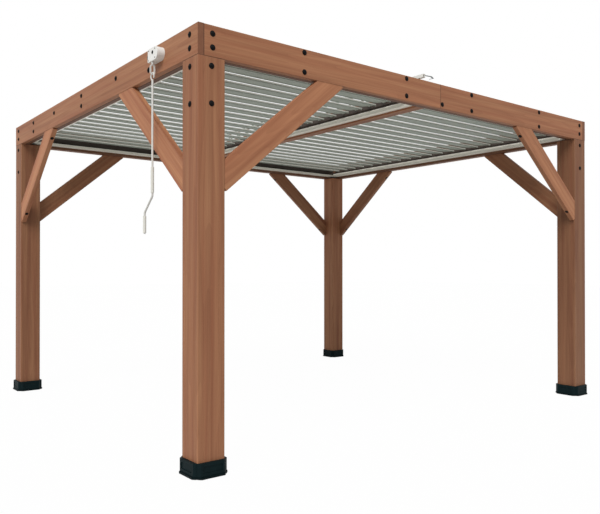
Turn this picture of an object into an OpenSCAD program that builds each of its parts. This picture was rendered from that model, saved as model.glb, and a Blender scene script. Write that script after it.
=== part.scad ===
// Free-standing timber pergola with a louvred roof that a hand crank opens.
// Four boxed posts carry a ring of beams, and two bays of shingled metal louvres turn inside the ring.
// Built from the ground up, in millimetres, with +Z up and the plan centred on the origin.

/* [Frame] */
// width over the outer faces of the side beams
frame_w = 3960; // [3000:10:4800]
// depth over the outer faces of the front and back beams
frame_d = 3410; // [3200:10:3700]
// height from the ground to the top of the beams
frame_h = 2440; // [2200:10:2800]
// side of the square posts
post_w = 171; // [140:1:200]
// thickness of every beam board and brace
board_t = 38; // [32:1:45]
// depth of the beams
beam_h = 172; // [165:1:200]
// depth of a seam between two boards of a post
seam_cut = 2; // [1:0.5:4]
// chamfer on the long edges of the posts
post_edge = 4; // [2:0.5:8]
// chamfer on the long edges of the beam boards
board_edge = 2.5; // [1:0.25:4]

/* [Braces] */
// width of a knee brace
brace_w = 140; // [100:1:160]
// height of a brace along the post, measured on its lower edge
brace_rise = 730; // [500:5:900]
// length of a brace along the beam, measured on its lower edge
brace_run = 885; // [600:5:1000]
// set-back of a brace from the outer face of the beam
brace_recess = 3; // [0:0.5:8]
// length cut off the sharp tips of a brace
brace_nose = 16; // [8:1:30]

/* [Joist] */
// offset of the joist from the middle of the frame, towards the crank side when negative
joist_shift = -100; // [-200:5:200]
// depth of the joist
joist_h = 140; // [120:1:150]
// height of the joist's underside above the beams' underside
joist_lift = 9; // [0:1:15]

/* [Post boots] */
// height of a boot
boot_h = 84; // [60:1:120]
// wall of a boot beyond the post
boot_wall = 20; // [16:0.5:28]
// thickness of the boot floor under the post
boot_floor = 10; // [6:0.5:16]
// room between a post and its boot
boot_fit = 0.5; // [0.3:0.1:1.5]
// how far the bottom flange stands out
boot_flange = 6; // [3:0.5:12]
// height of the bottom flange
flange_h = 12; // [8:0.5:18]
// depth of the panels pressed into the boot walls
panel_cut = 4; // [2:0.5:6]
// length cut off the upright corners of a boot, in wall thicknesses
corner_share = 1.6; // [1.2:0.05:1.65]
// width of the groove down each cut corner
groove_w = 12; // [8:0.5:16]
// depth of that groove
groove_cut = 2.5; // [1:0.25:3]

/* [Gutters] */
// width of a gutter
gutter_w = 50; // [40:1:60]
// height of a gutter
gutter_h = 22; // [18:1:30]
// wall thickness of a gutter
gutter_t = 2; // [1.5:0.25:3]
// height of the gutters' underside above the beams' underside
gutter_lift = 24; // [18:1:34]

/* [Louvres] */
// height of the pivots above the beams' underside
pivot_lift = 102; // [98:1:112]
// tilt of the closed louvres, front edge low
tilt = 7; // [6.5:0.25:9]
// overlap of one louvre on the next
overlap = 18; // [10:1:24]
// part of a louvre's width in front of its pivot
pivot_share = 0.595; // [0.5:0.005:0.62]
// gap between the front beam and the first louvre
front_gap = 79; // [70:1:100]
// gap between the last louvre and the back beam
back_gap = 11; // [8:1:30]
// thickness of a louvre's sheet
sheet_t = 2.5; // [2:0.25:3]
// distance of the sheet's underside below the pivot
sheet_drop = 10; // [9:0.5:12]
// height of the front lip above the sheet
lip_up = 8; // [4:0.5:9]
// depth of the front lip below the sheet
lip_down = 5; // [2:0.5:6]
// height of the rear lip above the sheet's underside
rear_lip = 12; // [6:0.5:16]
// gap between a louvre's end and the gutter beside it
end_gap = 6; // [5.5:0.5:12]
// thickness of an end cap
cap_t = 4; // [3:0.5:6]

/* [Pivots and tie bar] */
// diameter of every pivot pin
pin_d = 10; // [8:0.5:12]
// room for the bush around a pin
bush_gap = 0.4; // [0.3:0.05:1.5]
// thickness of the bearing strips on the beams
strip_t = 10; // [8:0.5:14]
// height of the bearing strips
strip_h = 40; // [30:1:50]
// gap between a pin's end and the timber behind it
pin_end = 2; // [1:0.5:4]
// length of the arms that carry the tie bar
arm_r = 157; // [152:0.5:170]
// lean of the arms to the back when the louvres are closed
arm_lean = 34; // [34:0.5:40]
// width of an arm
arm_w = 16; // [14:0.5:20]
// thickness of an arm
arm_t = 5; // [4:0.5:7]
// gap between an arm and the bearing strip beside it
arm_gap = 18; // [12:0.5:22]
// side of the square tie bar
bar_w = 24; // [20:0.5:26]
// wall of the tie bar
bar_t = 2.5; // [2:0.25:3.5]
// distance of the bar's front end behind the front of the frame
bar_front = 66; // [50:1:120]
// length of the bar behind its last pin
bar_tail = 40; // [30:1:60]

/* [Gearbox and crank] */
// reach of the gearbox beyond the side beam
gear_x = 47; // [46:1:54]
// length of the gearbox along the beam
gear_y = 127; // [115:1:145]
// height of the gearbox
gear_z = 76; // [68:1:88]
// length of the gearbox in front of the louvre shaft it drives
gear_lead = 24; // [20:1:36]
// distance of the crank's axis behind that shaft
worm_y = 60; // [50:0.5:70]
// distance of the crank's axis from the beam's face
worm_x = 37; // [30:0.5:38]
// length of the drive shaft inside the gearbox
shaft_in = 30; // [20:1:36]
// diameter of the crank rod
rod_d = 12; // [10:0.5:14]
// width of the eye under the gearbox
eye_w = 33; // [28:0.5:38]
// height of the eye
eye_h = 63; // [54:0.5:72]
// width of the bar round the eye and of the hook's bar
eye_d = 8; // [6:0.5:9]
// thickness of the eye
eye_t = 6; // [4:0.5:7]
// length of stem between the gearbox and the eye
stem = 15; // [8:0.5:20]
// depth of the crank's bore in the gearbox
worm_bore = 24; // [18:1:30]
// radius of the hook, at the middle of its bar
hook_r = 20; // [17:0.5:23]
// height of the upper grip's top above the ground
grip_top = 1714; // [1600:1:1800]
// length of the upper grip
grip_len = 150; // [120:1:180]
// height of the cranked part between the grips
crank_drop = 130; // [110:1:150]
// side step of the handle
crank_step = 103; // [80:1:110]
// radius of the two bends, at the middle of the rod
bend_r = 30; // [24:1:32]
// how much thicker the rod is along its bends
bend_swell = 1; // [0.5:0.25:2]
// length of rod between a grip and the corner of the bend beside it
bend_in = 20; // [19:0.5:23]
// length of the handle grip
handle_len = 100; // [90:1:130]
// length of rod below the handle grip
spindle_end = 6; // [4:0.5:12]
// diameter of both grips
grip_d = 19; // [17:0.5:24]
// room between a grip and the rod
grip_fit = 0.5; // [0.3:0.1:1]

/* [Hidden] */
$fn = 48;
// a small overrun for cuts
cut = 1;
// level of the beams' underside
seam_z = frame_h - beam_h;
// inner face of the doubled beams
ply_in = 2 * board_t;
// the joist's middle and its two faces
joist_x = frame_w / 2 + joist_shift;
joist_l = joist_x - board_t;
joist_r = joist_x + board_t;
joist_z = seam_z + joist_lift;
// gutters
gutter_z = seam_z + gutter_lift;
gut_y0 = ply_in;
gut_y1 = frame_d - ply_in;
// louvres
rows = 21;
pivot_z = seam_z + pivot_lift;
pitch_room = frame_d - 2 * ply_in - front_gap - back_gap - overlap * cos(tilt);
pitch = pitch_room / (rows - 1 + cos(tilt));
blade_w = pitch + overlap;
blade_f = blade_w * pivot_share;
blade_b = blade_w - blade_f;
row_y0 = ply_in + front_gap + blade_f * cos(tilt);
lx0 = ply_in + gutter_w + end_gap;
lx1 = joist_l - gutter_w - end_gap;
rx0 = joist_r + gutter_w + end_gap;
rx1 = frame_w - ply_in - gutter_w - end_gap;
// tie bar, at the end of the arms
bar_y = arm_r * sin(arm_lean);
bar_z = pivot_z + arm_r * cos(arm_lean);
arm_x0 = joist_l - strip_t - arm_gap - arm_t;
arm_x1 = joist_r + strip_t + arm_gap;
bore_d = pin_d + 2 * bush_gap;
// the louvre row that the gearbox turns
drive_row = 2;
drive_y = row_y0 + (drive_row - 1) * pitch;
worm_at = drive_y + worm_y;
gear_y0 = drive_y - gear_lead;
gear_z0 = pivot_z - gear_z / 2;
// crank heights, from the eye down
eye_top = gear_z0 - stem;
eye_r = eye_w / 2;
eye_seat = 0.6;
hook_z = eye_top - eye_h + 1.5 * eye_d + eye_seat - hook_r;
rod_top = hook_z - hook_r;
grip_low = grip_top - grip_len;
bend_low = grip_low - crank_drop;
handle_low = bend_low - handle_len;
// the two bends of the side step
bend_z1 = grip_low - bend_in;
bend_z2 = bend_low + bend_in;
bend_turn = atan2(crank_step, bend_z1 - bend_z2);
bend_cut = bend_r * tan(bend_turn / 2);
bend_lap = 6;

// puts the outer front left corner of the frame at its place, so that the plan is centred
module site() {
    translate([-frame_w / 2, -frame_d / 2, 0]) children();
}

// repeats a piece at the four corners, turned to face outwards
module corners() {
    children();
    translate([frame_w, 0, 0]) mirror([1, 0, 0]) children();
    translate([0, frame_d, 0]) mirror([0, 1, 0]) children();
    translate([frame_w, frame_d, 0]) mirror([1, 0, 0]) mirror([0, 1, 0]) children();
}

// plan of a boot, centred: a square with cut corners and a groove down each of them
module boot_plan(side, flat) {
    difference() {
        square([side, side], center = true);
        for (turn = [45:90:315])
            rotate(turn) {
                translate([flat, -side / 2]) square([side, side]);
                translate([flat - groove_cut, -groove_w / 2]) square([side, groove_w]);
            }
    }
}

// one moulded boot: a cup with a flange at the ground and a sunk panel in each wall
module boot() {
    side = post_w + 2 * boot_wall;
    flat = (side - corner_share * boot_wall) / sqrt(2);
    cup = post_w + 2 * boot_fit;
    panel_w = 0.56 * side;
    panel_h = 0.5 * (boot_h - flange_h);
    panel_z = flange_h + 0.25 * (boot_h - flange_h);
    translate([post_w / 2, post_w / 2, 0]) difference() {
        union() {
            linear_extrude(height = boot_h) boot_plan(side, flat);
            linear_extrude(height = flange_h)
                boot_plan(side + 2 * boot_flange, flat + boot_flange / 2);
        }
        translate([-cup / 2, -cup / 2, boot_floor]) cube([cup, cup, boot_h]);
        for (turn = [0:90:270])
            rotate([0, 0, turn]) translate([-panel_w / 2, side / 2 - panel_cut, panel_z])
                cube([panel_w, panel_cut + cut, panel_h]);
    }
}

module post_boots() {
    color([0.05, 0.05, 0.05]) site() corners() boot();
}

// a post boxed from boards: the seams show one board thickness from each edge
module post() {
    translate([0, 0, boot_floor]) linear_extrude(height = seam_z - boot_floor) difference() {
        square([post_w, post_w]);
        for (turn = [0:90:270])
            translate([post_w / 2, post_w / 2]) rotate(turn) {
                translate([post_w / 2, post_w / 2]) rotate(45)
                    square([post_edge * sqrt(2), 3 * post_edge], center = true);
                translate([post_w / 2, post_w / 2 - board_t]) rotate(45)
                    square([seam_cut, seam_cut], center = true);
                translate([post_w / 2, board_t - post_w / 2]) rotate(45)
                    square([seam_cut, seam_cut], center = true);
            }
    }
}

module post_front_left() {
    color([0.55, 0.35, 0.24]) site() post();
}

module post_front_right() {
    color([0.55, 0.35, 0.24]) site() translate([frame_w - post_w, 0, 0]) post();
}

module post_back_left() {
    color([0.55, 0.35, 0.24]) site() translate([0, frame_d - post_w, 0]) post();
}

module post_back_right() {
    color([0.55, 0.35, 0.24]) site() translate([frame_w - post_w, frame_d - post_w, 0]) post();
}

// section of a beam board with its long edges broken
module board_section() {
    e = board_edge;
    polygon([
        [e, 0], [board_t - e, 0], [board_t, e], [board_t, beam_h - e],
        [board_t - e, beam_h], [e, beam_h], [0, beam_h - e], [0, e]
    ]);
}

// one board of a side beam, between two places along the depth
module side_board(x0, y0, y1) {
    translate([x0, y1, seam_z]) rotate([90, 0, 0])
        linear_extrude(height = y1 - y0) board_section();
}

// the bore that the drive shaft takes through the left beam
module shaft_bore() {
    translate([-cut, drive_y, pivot_z]) rotate([0, 90, 0])
        cylinder(d = bore_d, h = ply_in + 2 * cut);
}

// outer boards of the side beams run through to the front and back faces
module left_beam() {
    color([0.6, 0.38, 0.26]) site() difference() {
        side_board(0, 0, frame_d);
        shaft_bore();
    }
}

module left_inner_ply() {
    color([0.52, 0.33, 0.23]) site() difference() {
        side_board(board_t, ply_in, frame_d - ply_in);
        shaft_bore();
    }
}

module right_beam() {
    color([0.6, 0.38, 0.26]) site() side_board(frame_w - board_t, 0, frame_d);
}

module right_inner_ply() {
    color([0.52, 0.33, 0.23]) site()
        side_board(frame_w - ply_in, ply_in, frame_d - ply_in);
}

// one board of the front or back ring, between two places along the frame
module ring_board(x0, x1, y0) {
    translate([x0, y0, seam_z]) rotate([90, 0, 90])
        linear_extrude(height = x1 - x0) board_section();
}

module front_beam_left() {
    color([0.6, 0.38, 0.26]) site() ring_board(board_t, frame_w / 2, 0);
}

module front_beam_right() {
    color([0.6, 0.38, 0.26]) site() ring_board(frame_w / 2, frame_w - board_t, 0);
}

module front_inner_ply() {
    color([0.52, 0.33, 0.23]) site() ring_board(board_t, frame_w - board_t, board_t);
}

module back_beam_left() {
    color([0.6, 0.38, 0.26]) site() ring_board(board_t, frame_w / 2, frame_d - board_t);
}

module back_beam_right() {
    color([0.6, 0.38, 0.26]) site()
        ring_board(frame_w / 2, frame_w - board_t, frame_d - board_t);
}

module back_inner_ply() {
    color([0.52, 0.33, 0.23]) site()
        ring_board(board_t, frame_w - board_t, frame_d - ply_in);
}

// a knee brace in the XZ plane, from a post's inner face up to the beam's underside
module brace() {
    slope = atan2(brace_rise, brace_run);
    z0 = seam_z - brace_rise;
    c = cos(slope);
    s = sin(slope);
    translate([post_w, brace_recess + board_t, 0]) rotate([90, 0, 0])
        linear_extrude(height = board_t)
            polygon([
                [brace_nose * c, z0 + brace_nose * s],
                [brace_run - brace_nose * c, seam_z - brace_nose * s],
                [brace_run - brace_nose / c, seam_z],
                [brace_run - brace_w / s, seam_z],
                [0, z0 + brace_w / c],
                [0, z0 + brace_nose / s]
            ]);
}

// the same brace in the YZ plane
module side_brace() {
    mirror([1, -1, 0]) brace();
}

module front_braces() {
    color([0.62, 0.4, 0.27]) site() {
        brace();
        translate([frame_w, 0, 0]) mirror([1, 0, 0]) brace();
    }
}

module back_braces() {
    color([0.62, 0.4, 0.27]) site() translate([0, frame_d, 0]) mirror([0, 1, 0]) {
        brace();
        translate([frame_w, 0, 0]) mirror([1, 0, 0]) brace();
    }
}

module left_braces() {
    color([0.62, 0.4, 0.27]) site() {
        side_brace();
        translate([0, frame_d, 0]) mirror([0, 1, 0]) side_brace();
    }
}

module right_braces() {
    color([0.62, 0.4, 0.27]) site() translate([frame_w, 0, 0]) mirror([1, 0, 0]) {
        side_brace();
        translate([0, frame_d, 0]) mirror([0, 1, 0]) side_brace();
    }
}

// the joist that parts the two louvre bays
module centre_joist() {
    color([0.5, 0.31, 0.22]) site()
        translate([joist_l, ply_in, joist_z])
            cube([2 * board_t, frame_d - 2 * ply_in, joist_h]);
}

// a gutter along Y, its back at x = 0 and its open side up
module gutter_y(len) {
    difference() {
        cube([gutter_w, len, gutter_h]);
        translate([gutter_t, -cut, gutter_t])
            cube([gutter_w - 2 * gutter_t, len + 2 * cut, gutter_h]);
    }
}

module side_gutters() {
    len = gut_y1 - gut_y0;
    color([0.86, 0.84, 0.78]) site() translate([0, gut_y0, gutter_z]) {
        translate([ply_in, 0, 0]) gutter_y(len);
        translate([joist_l - gutter_w, 0, 0]) gutter_y(len);
        translate([joist_r, 0, 0]) gutter_y(len);
        translate([frame_w - ply_in - gutter_w, 0, 0]) gutter_y(len);
    }
}

// a gutter along X between two side gutters
module gutter_x(x0, x1, y0) {
    translate([x0, y0, gutter_z]) difference() {
        cube([x1 - x0, gutter_w, gutter_h]);
        translate([-cut, gutter_t, gutter_t])
            cube([x1 - x0 + 2 * cut, gutter_w - 2 * gutter_t, gutter_h]);
    }
}

module end_gutters() {
    color([0.86, 0.84, 0.78]) site() {
        gutter_x(ply_in + gutter_w, joist_l - gutter_w, gut_y0);
        gutter_x(joist_r + gutter_w, frame_w - ply_in - gutter_w, gut_y0);
        gutter_x(ply_in + gutter_w, joist_l - gutter_w, gut_y1 - gutter_w);
        gutter_x(joist_r + gutter_w, frame_w - ply_in - gutter_w, gut_y1 - gutter_w);
    }
}

// a bearing strip with one bore for each louvre row
module strip() {
    difference() {
        translate([0, gut_y0 + gutter_w, pivot_z - strip_h / 2])
            cube([strip_t, gut_y1 - gut_y0 - 2 * gutter_w, strip_h]);
        for (row = [0:rows - 1])
            translate([-cut, row_y0 + row * pitch, pivot_z]) rotate([0, 90, 0])
                cylinder(d = bore_d, h = strip_t + 2 * cut);
    }
}

module bearing_strips() {
    color([0.16, 0.12, 0.1]) site() {
        translate([ply_in, 0, 0]) strip();
        translate([joist_l - strip_t, 0, 0]) strip();
        translate([joist_r, 0, 0]) strip();
        translate([frame_w - ply_in - strip_t, 0, 0]) strip();
    }
}

// section of a louvre across its width, pivot at the origin, front to the left
module blade_section() {
    union() {
        translate([-blade_f, -sheet_drop]) square([blade_w, sheet_t]);
        translate([-blade_f, -sheet_drop - lip_down])
            square([sheet_t, lip_down + sheet_t + lip_up]);
        translate([blade_b - sheet_t, -sheet_drop]) square([sheet_t, rear_lip]);
        translate([-1.5, -sheet_drop]) square([3, sheet_drop + 9]);
        translate([-8, 8]) square([16, 2.5]);
    }
}

// outline of an end cap, cut low at the front where the next louvre lies over it
module cap_section() {
    polygon([
        [-blade_f, -sheet_drop - lip_down],
        [sheet_t - blade_f, -sheet_drop - lip_down],
        [sheet_t - blade_f, -sheet_drop],
        [blade_b, -sheet_drop],
        [blade_b, rear_lip - sheet_drop],
        [14, 10.5],
        [-14, 10.5],
        [-blade_f, sheet_t + lip_up - sheet_drop]
    ]);
}

// one louvre between two places along X, with its end caps
module blade(x0, x1) {
    translate([x0, 0, 0]) rotate([90, 0, 90]) {
        linear_extrude(height = x1 - x0) blade_section();
        linear_extrude(height = cap_t) cap_section();
        translate([0, 0, x1 - x0 - cap_t]) linear_extrude(height = cap_t) cap_section();
    }
}

// a round pin along X between two places
module pin(x0, x1) {
    translate([x0, 0, 0]) rotate([0, 90, 0]) cylinder(d = pin_d, h = x1 - x0);
}

// a flat arm that stands up from the pivot to the tie bar
module arm() {
    rotate([90, 0, 90]) linear_extrude(height = arm_t) {
        translate([-arm_w / 2, 0]) square([arm_w, arm_r]);
        circle(d = arm_w + 4);
        translate([0, arm_r]) circle(d = arm_w + 4);
    }
}

// a row: one louvre in each bay, joined over the joist by two arms and a cross pin
module louver_row(number) {
    y = row_y0 + (number - 1) * pitch;
    shaft_x = (number == drive_row) ? -shaft_in : ply_in + pin_end;
    color([0.72, 0.75, 0.72]) site() translate([0, y, pivot_z]) {
        rotate([tilt, 0, 0]) {
            blade(lx0, lx1);
            blade(rx0, rx1);
        }
        pin(shaft_x, lx0 + cap_t);
        pin(lx1 - cap_t, joist_l - pin_end);
        pin(joist_r + pin_end, rx0 + cap_t);
        pin(rx1 - cap_t, frame_w - ply_in - pin_end);
        rotate([-arm_lean, 0, 0]) {
            translate([arm_x0, 0, 0]) arm();
            translate([arm_x1, 0, 0]) arm();
            translate([0, 0, arm_r]) pin(arm_x0, arm_x1 + arm_t);
        }
    }
}

// the square tube that ties all the arms together, bored for their cross pins
module tie_bar() {
    y1 = row_y0 + (rows - 1) * pitch + bar_y + bar_tail;
    color([0.85, 0.84, 0.8]) site() difference() {
        translate([joist_x - bar_w / 2, bar_front, bar_z - bar_w / 2])
            cube([bar_w, y1 - bar_front, bar_w]);
        translate([joist_x - bar_w / 2 + bar_t, bar_front - cut, bar_z - bar_w / 2 + bar_t])
            cube([bar_w - 2 * bar_t, y1 - bar_front + 2 * cut, bar_w - 2 * bar_t]);
        for (row = [0:rows - 1])
            translate([joist_x - bar_w, row_y0 + row * pitch + bar_y, bar_z])
                rotate([0, 90, 0]) cylinder(d = bore_d, h = 2 * bar_w);
    }
}

// a bent strap on the side of the bar near its front end
module bar_strap() {
    color([0.5, 0.5, 0.5]) site()
        translate([joist_x + bar_w / 2, bar_front + 14, bar_z]) rotate([90, 0, 0])
            linear_extrude(height = 12)
                polygon([
                    [0, -9], [3, -9], [3, 4], [70, 8], [92, 0], [58, -10],
                    [59.5, -12.5], [98, -1], [72, 11.2], [0, 7]
                ]);
}

// worm gearbox on the outer face of the left beam, rounded in front and square behind
module gearbox() {
    nose = gear_z / 2;
    color([0.88, 0.87, 0.84]) site() difference() {
        union() {
            translate([-gear_x, gear_y0 + nose, gear_z0]) cube([gear_x, gear_y - nose, gear_z]);
            translate([-gear_x, gear_y0 + nose, pivot_z]) rotate([0, 90, 0])
                cylinder(r = nose, h = gear_x);
        }
        translate([-shaft_in - pin_end, drive_y, pivot_z]) rotate([0, 90, 0])
            cylinder(d = bore_d, h = shaft_in + pin_end + cut);
        translate([-worm_x, worm_at, gear_z0 - cut])
            cylinder(d = rod_d + 2 * bush_gap, h = worm_bore + cut);
    }
}

// outline of an upright eye with round ends, its top at the origin
module eye_outline(r, len) {
    translate([0, -r]) circle(r = r);
    translate([-r, r - len]) square([2 * r, len - 2 * r]);
    translate([0, r - len]) circle(r = r);
}

// the eye that the crank hooks into, on a short stem out of the gearbox
module crank_eye() {
    color([0.7, 0.7, 0.68]) site() translate([-worm_x, worm_at, 0]) {
        translate([0, eye_t / 2, eye_top]) rotate([90, 0, 0]) linear_extrude(height = eye_t)
            difference() {
                eye_outline(eye_r, eye_h);
                translate([0, -eye_d]) eye_outline(eye_r - eye_d, eye_h - 2 * eye_d);
            }
        translate([0, 0, eye_top - eye_d / 2])
            cylinder(d = rod_d, h = stem + eye_d / 2 + worm_bore - pin_end);
    }
}

// a round bar between two points in the plane X = 0
module bar_yz(y0, z0, y1, z1) {
    translate([0, y0, z0]) rotate([-atan2(y1 - y0, z1 - z0), 0, 0])
        cylinder(d = rod_d, h = norm([y1 - y0, z1 - z0]));
}

// a bend of the crank in the plane X = 0, from one angle round its centre
module bend(y, z, from) {
    translate([0, y, z]) rotate([90, 0, 90]) rotate([0, 0, from - bend_lap])
        rotate_extrude(angle = bend_turn + 2 * bend_lap)
            translate([bend_r, 0]) circle(d = rod_d + bend_swell);
}

// the crank: a hook, a long rod, a side step between two round bends, and a spindle
module crank_rod() {
    color([0.78, 0.77, 0.74]) site() translate([-worm_x, worm_at, 0]) {
        translate([0, 0, hook_z]) rotate([0, 90, 0]) rotate_extrude(angle = 310)
            translate([hook_r, 0]) circle(d = eye_d);
        bar_yz(0, bend_z1 + bend_cut, 0, rod_top);
        bend(bend_r, bend_z1 + bend_cut, 180);
        bar_yz(
            crank_step - bend_cut * sin(bend_turn), bend_z2 + bend_cut * cos(bend_turn),
            bend_cut * sin(bend_turn), bend_z1 - bend_cut * cos(bend_turn)
        );
        bend(crank_step - bend_r, bend_z2 - bend_cut, 0);
        bar_yz(crank_step, handle_low - spindle_end, crank_step, bend_z2 - bend_cut);
    }
}

// two turned grips that sleeve the rod
module crank_grips() {
    color([0.82, 0.81, 0.78]) site() translate([-worm_x, worm_at, 0]) {
        difference() {
            translate([0, 0, grip_low]) cylinder(d = grip_d, h = grip_len);
            translate([0, 0, grip_low - cut])
                cylinder(d = rod_d + 2 * grip_fit, h = grip_len + 2 * cut);
        }
        translate([0, crank_step, 0]) difference() {
            translate([0, 0, handle_low]) cylinder(d = grip_d, h = handle_len);
            translate([0, 0, handle_low - cut])
                cylinder(d = rod_d + 2 * grip_fit, h = handle_len + 2 * cut);
        }
    }
}

post_boots();
post_front_left();
post_front_right();
post_back_left();
post_back_right();
left_beam();
left_inner_ply();
right_beam();
right_inner_ply();
front_beam_left();
front_beam_right();
front_inner_ply();
back_beam_left();
back_beam_right();
back_inner_ply();
front_braces();
back_braces();
left_braces();
right_braces();
centre_joist();
side_gutters();
end_gutters();
bearing_strips();
louver_row(1);  // louver_row_01
louver_row(2);  // louver_row_02
louver_row(3);  // louver_row_03
louver_row(4);  // louver_row_04
louver_row(5);  // louver_row_05
louver_row(6);  // louver_row_06
louver_row(7);  // louver_row_07
louver_row(8);  // louver_row_08
louver_row(9);  // louver_row_09
louver_row(10);  // louver_row_10
louver_row(11);  // louver_row_11
louver_row(12);  // louver_row_12
louver_row(13);  // louver_row_13
louver_row(14);  // louver_row_14
louver_row(15);  // louver_row_15
louver_row(16);  // louver_row_16
louver_row(17);  // louver_row_17
louver_row(18);  // louver_row_18
louver_row(19);  // louver_row_19
louver_row(20);  // louver_row_20
louver_row(21);  // louver_row_21
tie_bar();
bar_strap();
gearbox();
crank_eye();
crank_rod();
crank_grips();
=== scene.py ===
"""Dresses a louvred timber pergola, from the ground up, in metres in the frame of its CAD model."""

import math

import bmesh
import bpy
from mathutils import Matrix, Vector


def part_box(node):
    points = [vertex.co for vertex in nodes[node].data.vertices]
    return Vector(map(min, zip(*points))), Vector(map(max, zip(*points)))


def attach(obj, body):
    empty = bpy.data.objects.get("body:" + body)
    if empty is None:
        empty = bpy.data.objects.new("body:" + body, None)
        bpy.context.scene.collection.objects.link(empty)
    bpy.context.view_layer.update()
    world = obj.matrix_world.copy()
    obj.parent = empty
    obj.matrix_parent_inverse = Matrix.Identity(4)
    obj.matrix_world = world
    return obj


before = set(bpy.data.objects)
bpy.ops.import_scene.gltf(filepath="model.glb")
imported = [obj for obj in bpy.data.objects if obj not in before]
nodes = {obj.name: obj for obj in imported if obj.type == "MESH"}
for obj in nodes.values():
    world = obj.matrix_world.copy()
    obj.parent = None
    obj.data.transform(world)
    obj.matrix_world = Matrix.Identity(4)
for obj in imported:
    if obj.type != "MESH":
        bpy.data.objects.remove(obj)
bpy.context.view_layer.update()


# Post boots: four black cups, injection moulded in tough plastic.
# They keep the post ends off the wet ground, and the weight of the frame holds them down.

class Shade:
    """A socket in a material's nodes. Sums, products and comparisons of it add Math nodes."""

    def __init__(self, tree, socket=None):
        self.tree = tree
        self.socket = socket

    def feed(self, made, sockets):
        """Links shades to a node's inputs, and sets plain values on them."""
        for key, value in sockets.items():
            if isinstance(value, Shade):
                self.tree.links.new(value.socket, made.inputs[key])
            else:
                made.inputs[key].default_value = value

    def node(self, kind, settings, sockets, out=0):
        """Adds a node, with its settings first and its inputs next, and gives one output."""
        made = self.tree.nodes.new(kind)
        for name, value in settings.items():
            if name == "stops":
                stops = made.color_ramp.elements
                stops.remove(stops[1])
                stops[0].position, stops[0].color = value[0]
                for place, tint in value[1:]:
                    stops.new(place).color = tint
            else:
                setattr(made, name, value)
        self.feed(made, sockets)
        return Shade(self.tree, made.outputs[out])

    def maths(self, operation, first, second):
        return self.node("ShaderNodeMath", {"operation": operation}, {0: first, 1: second})

    def __add__(self, other):
        return self.maths("ADD", self, other)

    __radd__ = __add__

    def __sub__(self, other):
        return self.maths("SUBTRACT", self, other)

    def __rsub__(self, other):
        return self.maths("SUBTRACT", other, self)

    def __mul__(self, other):
        return self.maths("MULTIPLY", self, other)

    __rmul__ = __mul__

    def __mod__(self, other):
        return self.maths("FLOORED_MODULO", self, other)

    def __lt__(self, other):
        return self.maths("LESS_THAN", self, other)

    def __gt__(self, other):
        return self.maths("GREATER_THAN", self, other)


def new_finish(name):
    """A material, its shader, and a shade to build its nodes from."""
    material = bpy.data.materials.new(name)
    material.use_nodes = True
    tree = material.node_tree
    return material, tree.nodes["Principled BSDF"], Shade(tree)


def coat(node, material):
    """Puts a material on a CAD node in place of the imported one."""
    slots = nodes[node].data.materials
    slots.clear()
    slots.append(material)


def tinted(shade, factor, plain, other, way="MIX"):
    """A colour between two, by a factor."""
    settings = {"data_type": "RGBA", "blend_type": way}
    return shade.node("ShaderNodeMix", settings, {0: factor, 6: plain, 7: other}, out=2)


def speckle(shade, size, detail=2.0, stretch=(1, 1, 1)):
    """Soft noise with grains of about this size, drawn out by a stretch on each axis."""
    place = shade.node("ShaderNodeTexCoord", {}, {}, out="Object")
    scale = [1 / (size * s) for s in stretch]
    place = shade.node("ShaderNodeVectorMath", {"operation": "MULTIPLY"}, {0: place, 1: scale})
    return shade.node("ShaderNodeTexNoise", {}, {"Vector": place, "Scale": 1, "Detail": detail})


def bumped(shade, height, depth):
    """A normal that rises and falls by this depth."""
    return shade.node("ShaderNodeBump", {}, {"Height": height, "Distance": depth, "Strength": 0.6})


BOOT_BLACK = (0.0015, 0.0060, 0.0068, 1)
BOOT_PALE_WALL = (0.0042, 0.0118, 0.0134, 1)
BOOT_FLANGE_TOP = 0.0135
BOOT_BLOTCH, BOOT_GRAIN, BOOT_GRAIN_DEEP = 0.03, 0.0012, 0.0002

boot_plastic, shader, shade = new_finish("moulded_boot_plastic")
height = shade.node("ShaderNodeTexCoord", {}, {}, out="Object")
height = shade.node("ShaderNodeSeparateXYZ", {}, {"Vector": height}, out="Z")
# Pale blotches on the walls above the flange; the flange itself stays near black as painted shade.
wall_blotches_and_flange_shade = ((height > BOOT_FLANGE_TOP) * 0.75 + 0.05) * (speckle(shade, BOOT_BLOTCH) + 0.4)
grain = speckle(shade, BOOT_GRAIN)
shade.feed(shader, {
    "Base Color": tinted(shade, wall_blotches_and_flange_shade, BOOT_BLACK, BOOT_PALE_WALL),
    "Roughness": 0.42 + 0.25 * grain,
    "Normal": bumped(shade, grain, BOOT_GRAIN_DEEP),
    "Specular IOR Level": 0.06,
})
coat("post_boots", boot_plastic)


# Posts: square, boxed from planed softwood boards and stained a warm cedar brown.
# The grain runs up the post, and the joints between the boards show as fine lines.

STAIN_DEEP = (0.160, 0.056, 0.026, 1)
STAIN_WARM = (0.320, 0.124, 0.061, 1)
STAIN_PALE = (0.430, 0.215, 0.108, 1)
KNOT_BROWN = (0.080, 0.028, 0.014, 1)
END_GRAIN = (0.150, 0.058, 0.030, 1)
JOINT_DARK = (0.030, 0.011, 0.007, 1)
JOINT_HALF = 0.0022
END_SKIN = 0.0005
NO_END = 9.0
WIDE_BAND, PALE_BAND = (0.055, 2.2), (0.034, 1.3)
RING_WAVE, RINGS_IN_WAVE, RING_BEND = (0.16, 2.6), 17, 0.3
FIBRE, FIBRE_DEEP = (0.0045, 0.34), 0.0006
KNOT_CELL, KNOT_SIZE, KNOT_RARE = (0.16, 0.9), 0.05, 0.95
BAND_EDGES = [(0.28, (0, 0, 0, 1)), (0.72, (1, 1, 1, 1))]
SEED_SHIFT, PAIR_SHIFT = Vector((1.7, 2.3, 0.9)), 5.3
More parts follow.
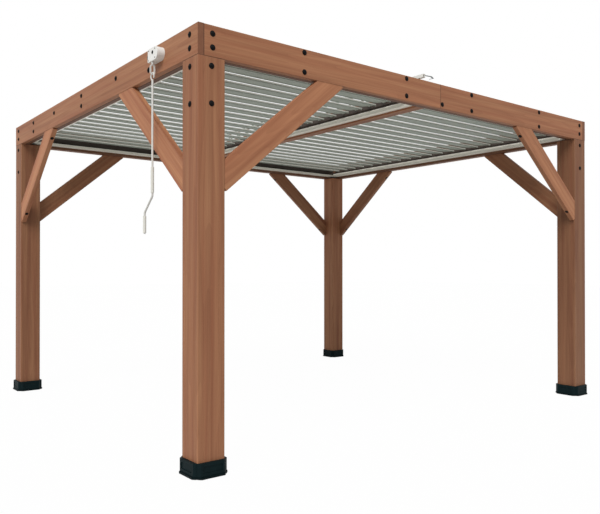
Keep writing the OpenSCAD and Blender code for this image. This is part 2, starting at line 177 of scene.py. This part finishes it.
ALONG_X, ALONG_Y, ALONG_Z = Vector((1, 0, 0)), Vector((0, 1, 0)), Vector((0, 0, 1))

half_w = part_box("right_beam")[1].x
half_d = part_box("left_beam")[1].y
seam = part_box("left_beam")[0].z
board = half_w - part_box("right_beam")[0].x


def stained_timber(name, grain, seed, tone=1.0, turn=(0, 0, 0), pair=None, joints=(), end=NO_END):
    """Stained softwood with its grain along an axis, after a turn.

    The tone makes it paler or deeper, and a pair is the axis on which two mirrored
    pieces share the finish. Joints are axes and places of dark lines where another
    board meets this one, and the end grain starts at a place along the grain."""
    material, shader, shade = new_finish(name)

    def vectors(operation, first, second, out=0):
        sockets = {0: first, 1: second}
        return shade.node("ShaderNodeVectorMath", {"operation": operation}, sockets, out)

    spot = shade.node("ShaderNodeTexCoord", {}, {}, out="Object")
    place = spot
    shift = SEED_SHIFT * seed
    if pair:
        side = shade.node("ShaderNodeVectorMath", {"operation": "SIGN"}, {0: place})
        side = vectors("DOT_PRODUCT", side, pair, "Value") * PAIR_SHIFT
        place = shade.node("ShaderNodeVectorMath", {"operation": "ABSOLUTE"}, {0: place})
    place = shade.node("ShaderNodeMapping", {}, {"Vector": place, "Rotation": turn})
    place = vectors("ADD", place, shift)
    if pair:
        place = vectors("ADD", place, side)

    def drawn_out(across, length):
        """The place in grains of this size across the board and along it."""
        across_too = Vector((1, 1, 1)) - grain
        return vectors("MULTIPLY", place, grain / length + across_too / across)

    def streaks(across, length, detail, bend=0.0):
        sockets = {"Vector": drawn_out(across, length), "Scale": 1, "Detail": detail}
        return shade.node("ShaderNodeTexNoise", {}, {**sockets, "Distortion": bend})

    def banded(size):
        return shade.node("ShaderNodeValToRGB", {"stops": BAND_EDGES}, {0: streaks(*size, 2)})

    bands, pale_bands = banded(WIDE_BAND), banded(PALE_BAND)
    rings = (streaks(*RING_WAVE, 1, RING_BEND) * RINGS_IN_WAVE) % 1
    fibres = streaks(*FIBRE, 3)
    cells = {"Vector": drawn_out(*KNOT_CELL), "Scale": 1}
    knot = shade.node("ShaderNodeTexVoronoi", {}, cells)
    cell = shade.node("ShaderNodeTexVoronoi", {}, cells, out="Color")
    cell = vectors("DOT_PRODUCT", cell, ALONG_X, "Value")
    knots = (knot < KNOT_SIZE) * (cell > KNOT_RARE)

    colour = tinted(shade, bands * 0.8, STAIN_WARM, STAIN_DEEP)
    colour = tinted(shade, pale_bands * 0.7, colour, STAIN_PALE)
    colour = tinted(shade, rings * rings * 0.20, colour, STAIN_DEEP)
    colour = tinted(shade, fibres * fibres * 0.68, colour, STAIN_DEEP)
    colour = tinted(shade, knots * 0.5, colour, KNOT_BROWN)
    along = shade.maths("ABSOLUTE", vectors("DOT_PRODUCT", spot, grain, "Value"), 0)
    colour = tinted(shade, (along > end - END_SKIN) * 0.8, colour, END_GRAIN)
    for axis, offset in joints:
        away = shade.maths("ABSOLUTE", vectors("DOT_PRODUCT", spot, axis, "Value"), 0)
        away = shade.maths("ABSOLUTE", away - offset, 0)
        colour = tinted(shade, (away < JOINT_HALF) * 0.8, colour, JOINT_DARK)
    colour = tinted(shade, 1.0, colour, (tone, tone, tone, 1), "MULTIPLY")
    shade.feed(shader, {
        "Base Color": colour,
        "Roughness": 0.52 + 0.2 * fibres,
        "Normal": bumped(shade, fibres + 0.3 * rings, FIBRE_DEEP),
        "Specular IOR Level": 0.3,
    })
    return material


# The tones differ from post to post partly as the wood does and partly as painted light and shade:
# the front right and back left posts are deeper where they stood in shade, the back right one
# paler.
post_tones_and_light = {"post_front_left": 1.0, "post_front_right": 0.64,
              "post_back_left": 0.76, "post_back_right": 1.15}
for seed, (post, tone) in enumerate(post_tones_and_light.items()):
    coat(post, stained_timber(f"{post}_timber", ALONG_Z, seed, tone, joints=[(ALONG_Z, seam)]))


# Ring of beams: two boards face to face on every side, bolted together over the posts.
# The outer front and back boards are spliced in the middle, over the inner ones.

along_front = ["front_beam_left", "front_beam_right", "front_inner_ply",
               "back_beam_left", "back_beam_right", "back_inner_ply"]
along_sides = ["left_beam", "right_beam", "left_inner_ply", "right_inner_ply"]
# The inner plies are much deeper than the outer boards, as painted shade under and between the
# beams.
INNER_SHADE_TONE, END_TONE, SIDE_TONE = 0.45, 1.1, 1.04
side_joint, end_joint = (ALONG_X, half_w - board), (ALONG_Y, half_d - board)
butts = [(ALONG_X, 0), side_joint, end_joint]
for seed, beam in enumerate(along_front, start=5):
    tone = INNER_SHADE_TONE if beam.endswith("ply") else END_TONE
    coat(beam, stained_timber(f"{beam}_timber", ALONG_X, seed, tone, joints=butts))
for seed, beam in enumerate(along_sides, start=11):
    tone = INNER_SHADE_TONE if beam.endswith("ply") else SIDE_TONE
    coat(beam, stained_timber(f"{beam}_timber", ALONG_Y, seed, tone, joints=[side_joint],
                              end=half_d))


# Knee braces: eight slanted boards between the posts and the beams, cut to fit at both ends.
# Their grain follows the slant.

brace_run, brace_rise = 0.885, 0.730
slope = math.atan2(brace_rise, brace_run)
front_turn, side_turn = (0, -slope, 0), (slope, 0, 0)
# The tones are partly painted light and shade: the left braces are paler where the light falls, the
# back and right ones deeper where they stand in shade.
brace_looks_and_light = [("front", ALONG_X, 15, 1.25, front_turn), ("back", ALONG_X, 17, 0.95, front_turn),
               ("left", ALONG_Y, 19, 1.38, side_turn), ("right", ALONG_Y, 21, 0.95, side_turn)]
for side, grain, seed, tone, turn in brace_looks_and_light:
    coat(f"{side}_braces",
         stained_timber(f"{side}_brace_timber", grain, seed, tone, turn, grain))


# Joist: a doubled board from the front to the back that parts the two louvre bays.
# It hangs between the inner plies, with its underside just above theirs.

coat("centre_joist", stained_timber("joist_timber", ALONG_Y, 24))


# Bolts: black steel with domed heads on washers, which pull the boards and braces together.
# Pairs sit over the joints of the beams, and one bolt holds each end of a brace.

HEAD = [(0, 0.0085), (0.005, 0.0080), (0.009, 0.0062), (0.0115, 0.0030), (0.0125, 0.0022),
        (0.0160, 0.0020), (0.0166, 0.0012), (0.0166, -0.0020), (0, -0.0020)]
HEAD_STEPS = 20

bolt_black, shader, shade = new_finish("blackened_bolt_steel")
mottle = speckle(shade, 0.006)
shade.feed(shader, {
    "Base Color": tinted(shade, mottle, (0.003, 0.003, 0.003, 1), (0.009, 0.009, 0.010, 1)),
    "Roughness": 0.42 + 0.2 * mottle,
    "Specular IOR Level": 0.05,
})


def new_piece(name, mesh, material, body):
    """Turns a bmesh into a piece of the object that rides on a body."""
    data = bpy.data.meshes.new(name)
    mesh.to_mesh(data)
    mesh.free()
    data.materials.append(material)
    piece = bpy.data.objects.new(name, data)
    bpy.context.scene.collection.objects.link(piece)
    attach(piece, body)
    return piece


def bolts(name, spots):
    """Bolt heads, each at a place and facing a way, with a size and how tall the dome is."""
    mesh = bmesh.new()
    profile = [mesh.verts.new((r, 0, h)) for r, h in HEAD]
    edges = [mesh.edges.new(pair) for pair in zip(profile, profile[1:])]
    bmesh.ops.spin(mesh, geom=profile + edges, axis=(0, 0, 1), angle=math.tau,
                   steps=HEAD_STEPS, use_merge=True)
    bmesh.ops.remove_doubles(mesh, verts=mesh.verts, dist=1e-6)
    bmesh.ops.recalc_face_normals(mesh, faces=mesh.faces)
    for face in mesh.faces:
        face.smooth = True
    head = mesh.verts[:] + mesh.edges[:] + mesh.faces[:]
    for place, facing, size, dome in spots:
        copied = bmesh.ops.duplicate(mesh, geom=head)["geom"]
        verts = [part for part in copied if isinstance(part, bmesh.types.BMVert)]
        turn = Vector(facing).to_track_quat("Z", "Y").to_matrix().to_4x4()
        turn = turn @ Matrix.Diagonal((size, size, size * dome, 1))
        bmesh.ops.transform(mesh, matrix=Matrix.Translation(place) @ turn, verts=verts)
    bmesh.ops.delete(mesh, geom=[part for part in head if isinstance(part, bmesh.types.BMVert)])
    return new_piece(name, mesh, bolt_black, "frame")


post_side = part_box("post_front_left")[1].x + half_w
upper, lower = seam + 0.126, seam + 0.051
edge_upper, edge_lower = seam + 0.151, seam + 0.033
corner_across = 1.888
pairs_across = [1.250, 0.355]
pairs_deep = [-1.617, -1.112, 0.012, 1.167, 1.617]
lone_deep = 0.620
post_heights = [seam - 0.050, seam - 0.253]
splice_across, splice_drop, lone_drop = 0.018, 0.003, 0.014
brace_ends = [0.11, 0.90]
brace_in = 0.022
BRACE_HEAD, BRACE_DOME = 0.9, 0.25


def both(values):
    return [sign * value for value in values for sign in (-1, 1)]


for name, sign in (("front", -1), ("back", 1)):
    face, way = sign * half_d, (0, sign, 0)
    at = [(x, z) for x in both([corner_across]) for z in (upper, lower)]
    at += [(x, z) for x in both(pairs_across) for z in (edge_upper, edge_lower)]
    at += [(-sign * splice_across, edge_lower - splice_drop)]
    at += [(x, z) for x in both([half_w - post_side / 2]) for z in post_heights]
    spots = [((x, face, z), way, 1, 1) for x, z in at]
    for share in brace_ends:
        high = seam - brace_rise * (1 - share)
        for x in both([half_w - post_side - brace_run * share]):
            way = (-math.copysign(brace_rise, x), 0, -brace_run)
            spots.append(((x, sign * (half_d - brace_in), high), way, BRACE_HEAD, BRACE_DOME))
    bolts(f"{name}_bolts", spots)
for name, sign in (("left", -1), ("right", 1)):
    face, way = sign * half_w, (sign, 0, 0)
    at = [(y, z) for y in pairs_deep for z in (upper, lower)]
    at += [(y, upper - lone_drop) for y in both([lone_deep])]
    at += [(y, z) for y in both([half_d - post_side / 2]) for z in post_heights]
    spots = [((face, y, z), way, 1, 1) for y, z in at]
    for share in brace_ends:
        high = seam - brace_rise * (1 - share)
        for y in both([half_d - post_side - brace_run * share]):
            way = (0, -math.copysign(brace_rise, y), -brace_run)
            spots.append(((sign * (half_w - brace_in), y, high), way, BRACE_HEAD, BRACE_DOME))
    bolts(f"{name}_bolts", spots)


# Gutters: cream powder-coated channels on the beams and the joist, round both bays.
# They catch the rain that runs off the louvre ends, and a flange at the back of the side ones
# reaches up the timber to just below the louvres.

GUTTER_CREAM = (0.86, 0.83, 0.75, 1)
GUTTER_STAIN = (0.72, 0.68, 0.59, 1)

gutter_coat, shader, shade = new_finish("cream_gutter_coat")
shade.feed(shader, {
    "Base Color": tinted(shade, speckle(shade, 0.12) * 0.5, GUTTER_CREAM, GUTTER_STAIN),
    "Roughness": 0.40 + 0.15 * speckle(shade, 0.004),
})
coat("side_gutters", gutter_coat)
coat("end_gutters", gutter_coat)

FLANGE, FLANGE_SHORT = 0.003, 0.007
bay_low, bay_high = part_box("side_gutters")
joist_low, joist_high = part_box("centre_joist")
flange_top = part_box("louver_row_01")[0].z - FLANGE_SHORT
bays = [(bay_low.x, joist_low.x), (joist_high.x, bay_high.x)]


def slab(mesh, low, high):
    """A box between two corners."""
    middle, size = (Vector(low) + Vector(high)) / 2, Vector(high) - Vector(low)
    place = Matrix.Translation(middle) @ Matrix.Diagonal((*size, 1))
    bmesh.ops.create_cube(mesh, size=1, matrix=place)


def side_strips(mesh, low, high):
    """Strips between two heights on both sides of each bay."""
    for x0, x1 in bays:
        for x2, x3 in ((x0, x0 + FLANGE), (x1 - FLANGE, x1)):
            slab(mesh, (x2, bay_low.y + FLANGE, low), (x3, bay_high.y - FLANGE, high))


mesh = bmesh.new()
side_strips(mesh, bay_high.z, flange_top)
new_piece("gutter_flanges", mesh, gutter_coat, "frame")


# Bearing strips: dark plastic strips on the beams and the joist, bored for the louvre pins.
# Plain strips of the same plastic cover the timber below and beside them as painted shade, where
# those faces stand in shadow.

bearing_plastic, shader, shade = new_finish("bearing_plastic")
mottle = speckle(shade, 0.02)
shade.feed(shader, {
    "Base Color": tinted(shade, mottle, (0.035, 0.024, 0.018, 1), (0.060, 0.042, 0.032, 1)),
    "Roughness": 0.50 + 0.15 * mottle,
})
coat("bearing_strips", bearing_plastic)

strip_low, strip_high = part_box("bearing_strips")
mesh = bmesh.new()
side_strips(mesh, flange_top, strip_low.z)
for x0, x1 in bays:
    for y0, y1 in ((bay_low.y, bay_low.y + FLANGE), (bay_high.y - FLANGE, bay_high.y)):
        slab(mesh, (x0, y0, bay_high.z), (x1, y1, strip_high.z))
new_piece("painted_shade_strips", mesh, bearing_plastic, "frame")


# Louvres: folded aluminium sheet with a soft grey-green coat, two to a row on one line of pins.
# Each front lip is painted white at its upper edge, partly as a white edge and partly as painted
# light for the bright line between rows; the first lip is white all over as painted light, since it
# stands in the beam's shade. From below these show as bright lines.

LOUVRE_FRONT_PAINTED_SHADE = (0.352, 0.384, 0.340, 1)
LOUVRE_REAR_PAINTED_LIGHT = (0.408, 0.443, 0.392, 1)
LOUVRE_WORN = (0.310, 0.338, 0.297, 1)
LIP_WHITE_AND_LIGHT = (0.93, 0.92, 0.88, 1)
LIP_DEEP, LIP_LEAD = 0.0036, 0.001
LIP_UNDER_PIN = (0.0204, 0.0100)

first_row, next_row = (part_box(f"louver_row_{n:02d}") for n in (1, 2))
pitch = next_row[1].y - first_row[1].y
lip_front = first_row[0].y
pin_height = (strip_low.z + strip_high.z) / 2

louvre_coat, shader, shade = new_finish("louvre_coat")
place = shade.node("ShaderNodeTexCoord", {}, {}, out="Object")
deep = shade.node("ShaderNodeSeparateXYZ", {}, {"Vector": place}, out="Y")
high = shade.node("ShaderNodeSeparateXYZ", {}, {"Vector": place}, out="Z")
back = (deep - (lip_front - LIP_LEAD)) % pitch
lip_low, lip_high = (pin_height - drop for drop in LIP_UNDER_PIN)
# The first lip is painted white all over as painted light, where the beam shades it.
first = deep < lip_front + LIP_DEEP
lip_paint_and_light = (back < LIP_DEEP) * ((high > lip_low) + first > 0.5) * (high < lip_high)
wear = speckle(shade, 0.08, 3, (6, 1, 1))
# Painted light and shade along each sheet: darker at the front, lighter to the rear where the next
# row shades it.
colour = tinted(shade, back * (1 / pitch), LOUVRE_FRONT_PAINTED_SHADE, LOUVRE_REAR_PAINTED_LIGHT)
colour = tinted(shade, wear * 0.3, colour, LOUVRE_WORN)
shade.feed(shader, {
    "Base Color": tinted(shade, lip_paint_and_light, colour, LIP_WHITE_AND_LIGHT),
    "Roughness": 0.52 + 0.16 * speckle(shade, 0.003),
    "Specular IOR Level": 0.25,
})
for name in nodes:
    if name.startswith("louver_row"):
        coat(name, louvre_coat)


# Tie bar: a white square tube over the joist that turns every louvre row at once.
# A bent steel strap is screwed to its front end.

BAR_WHITE = (0.80, 0.79, 0.75, 1)
BAR_SHADE = (0.70, 0.69, 0.65, 1)

white_coat, shader, shade = new_finish("off_white_coat")
shade.feed(shader, {
    "Base Color": tinted(shade, speckle(shade, 0.03) * 0.6, BAR_WHITE, BAR_SHADE),
    "Roughness": 0.36 + 0.18 * speckle(shade, 0.004),
})
coat("tie_bar", white_coat)

strap_steel, shader, shade = new_finish("plain_strap_steel")
brushed = speckle(shade, 0.001, 2, (20, 1, 1))
shade.feed(shader, {
    "Base Color": tinted(shade, brushed, (0.26, 0.27, 0.28, 1), (0.42, 0.43, 0.44, 1)),
    "Roughness": 0.30 + 0.2 * brushed,
})
shader.inputs["Metallic"].default_value = 0.9
coat("bar_strap", strap_steel)


# Gearbox and crank: a moulded off-white housing, and a painted steel rod that hooks into its eye.
# Two plastic grips turn loosely on the rod.

GEAR_WHITE = (0.78, 0.77, 0.74, 1)
GEAR_SHADE = (0.66, 0.65, 0.62, 1)
FITTING_DOME = 0.5

gear_plastic, shader, shade = new_finish("gearbox_plastic")
mottle = speckle(shade, 0.02)
shade.feed(shader, {
    "Base Color": tinted(shade, mottle * 0.6, GEAR_WHITE, GEAR_SHADE),
    "Roughness": 0.38 + 0.12 * mottle,
    "Normal": bumped(shade, speckle(shade, 0.0015), 0.0001),
})
coat("gearbox", gear_plastic)

gear_low, gear_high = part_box("gearbox")
gear_back, gear_middle = gear_high.y, (gear_low.z + gear_high.z) / 2
# place along the housing from its back end, height over its middle, and size
fittings = [(-0.061, 0.010, 0.66), (-0.012, 0.028, 0.26), (-0.012, -0.028, 0.26),
            (-0.092, -0.026, 0.26), (-0.092, 0.026, 0.26)]
bolts("gearbox_fittings", [((gear_low.x, gear_back + y, gear_middle + z), -ALONG_X, size,
                            FITTING_DOME) for y, z, size in fittings])

crank_paint, shader, shade = new_finish("crank_paint")
mottle = speckle(shade, 0.012, 2, (1, 1, 6))
shade.feed(shader, {
    "Base Color": tinted(shade, mottle * 0.7, (0.66, 0.65, 0.62, 1), (0.50, 0.49, 0.46, 1)),
    "Roughness": 0.32 + 0.15 * mottle,
})
coat("crank_eye", crank_paint)
coat("crank_rod", crank_paint)

grip_plastic, shader, shade = new_finish("grip_plastic")
mottle = speckle(shade, 0.008)
shade.feed(shader, {
    "Base Color": tinted(shade, mottle * 0.6, (0.66, 0.65, 0.60, 1), (0.54, 0.53, 0.48, 1)),
    "Roughness": 0.40 + 0.15 * mottle,
})
coat("crank_grips", grip_plastic)


# Studio: a pale floor under a white room, a soft key lamp from the left and a wide fill.

FLOOR_HALF = 40.0
FLOOR_PALE = (0.62, 0.62, 0.60, 1)
FLOOR_WASH = 0.985
ROOM_LIGHT = 0.47
KEY_STRENGTH = 2.65
KEY_FROM = Vector((-0.57, -0.44, 0.69))
KEY_SPREAD = math.radians(35)


def seen_directly(shade):
    """One for rays that look at a surface straight, in a mirror or through glass."""
    rays = [shade.node("ShaderNodeLightPath", {}, {}, out=f"Is {kind} Ray")
            for kind in ("Camera", "Glossy", "Transmission")]
    return rays[0] + rays[1] + rays[2]


mesh = bmesh.new()
bmesh.ops.create_grid(mesh, x_segments=2, y_segments=2, size=FLOOR_HALF)
data = bpy.data.meshes.new("floor")
mesh.to_mesh(data)
mesh.free()
floor = bpy.data.objects.new("floor", data)
bpy.context.scene.collection.objects.link(floor)
floor_paint, shader, shade = new_finish("pale_floor")
shader.inputs["Base Color"].default_value = FLOOR_PALE
shader.inputs["Roughness"].default_value = 0.9
white = shade.node("ShaderNodeEmission", {}, {"Color": (1, 1, 1, 1), "Strength": 1.0})
plain = Shade(shade.tree, shader.outputs[0])
washed = shade.node("ShaderNodeMixShader", {}, {0: seen_directly(shade) * FLOOR_WASH,
                                                1: plain, 2: white})
shade.feed(shade.tree.nodes["Material Output"], {"Surface": washed})
data.materials.append(floor_paint)

room = bpy.data.worlds.new("white_room")
room.use_nodes = True
shade = Shade(room.node_tree)
bright = seen_directly(shade) * (1 - ROOM_LIGHT) + ROOM_LIGHT
shade.feed(room.node_tree.nodes["Background"], {"Color": (1, 1, 1, 1), "Strength": bright})
bpy.context.scene.world = room

key = bpy.data.lights.new("key_lamp", "SUN")
key.energy = KEY_STRENGTH
key.angle = KEY_SPREAD
lamp = bpy.data.objects.new("key_lamp", key)
lamp.rotation_euler = KEY_FROM.to_track_quat("Z", "Y").to_euler()
bpy.context.scene.collection.objects.link(lamp)
bpy.context.scene.view_settings.view_transform = "Standard"


# Camera: at standing eye height in front of the left corner, looking level.

EYE = Vector((-3.7491, -4.8159, 1.1212))
LOOK = Vector((0.6139, 0.7894, 0.0057))
LENS, SENSOR = 39.93, 36.0
SHIFT_X, SHIFT_Y = 0.010, 0.013

view = bpy.data.cameras.new("camera")
view.sensor_width, view.lens = SENSOR, LENS
view.shift_x, view.shift_y = SHIFT_X, SHIFT_Y
view.clip_end = 200.0
camera = bpy.data.objects.new("camera", view)
camera.location = EYE
camera.rotation_euler = LOOK.to_track_quat("-Z", "Y").to_euler()
bpy.context.scene.collection.objects.link(camera)
bpy.context.scene.camera = camera

bpy.context.view_layer.update()
